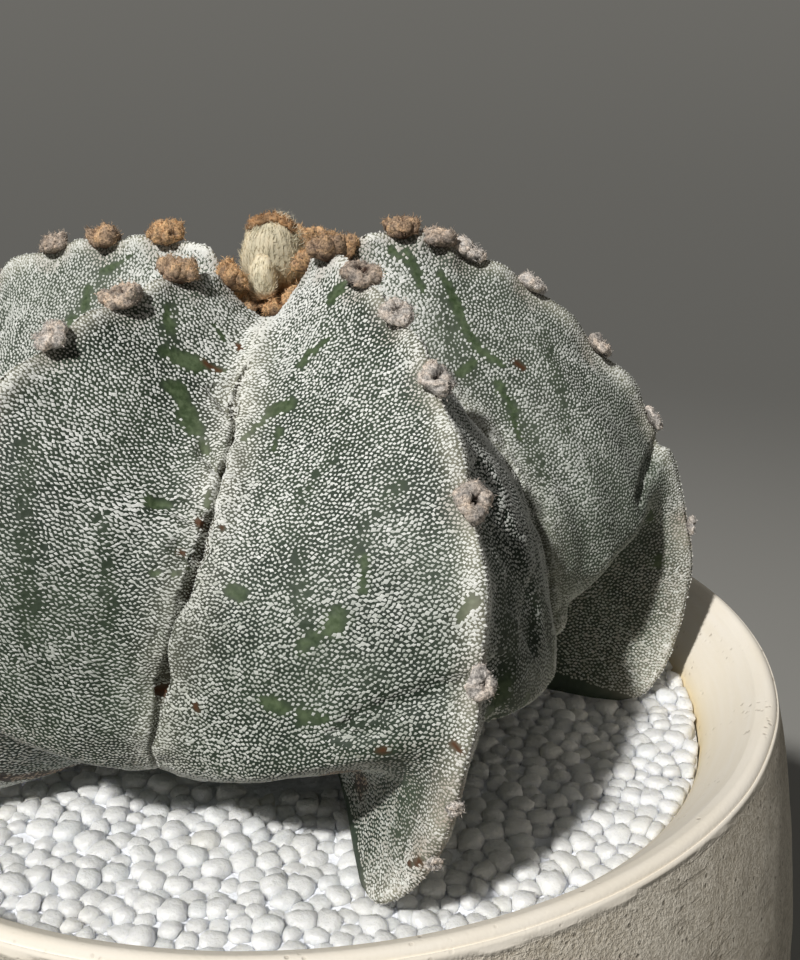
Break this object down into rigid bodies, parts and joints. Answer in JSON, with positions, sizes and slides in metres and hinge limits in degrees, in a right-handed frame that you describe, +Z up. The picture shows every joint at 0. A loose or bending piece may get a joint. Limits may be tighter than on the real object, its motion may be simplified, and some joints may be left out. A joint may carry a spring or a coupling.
{
  "type": "potted bishops cap cactus",
  "caption": "Squat ribbed bishop's cap cactus with woolly areoles along its crests and a flower bud, in a round stoneware pot with pebble top dressing.",
  "frame": {"origin": "centre of the pot's underside, on the surface that it stands on", "axes": "+Z up along the pot's axis, -Y towards the picture's viewer, +X to the viewer's right"},
  "size_m": [0.1512, 0.1512, 0.1604],
  "materials": {
    "pot": "unglazed stoneware, smooth inside, pitted and scratched outside",
    "soil": "gritty potting mix",
    "gravel": "rounded translucent white pebbles",
    "cactus_skin": "matt grey-green skin closely set with raised white flecks",
    "crown_wool": "matted orange-brown wool",
    "bud_wool": "dense cream wool"
  },
  "bodies": {
    "root": {"pot": "pot", "soil": "soil", "gravel": "gravel", "cactus_body": "cactus_skin", "crown_wool": "crown_wool", "flower_bud": "bud_wool", "small_bud": "bud_wool"}
  },
  "joints": []
}
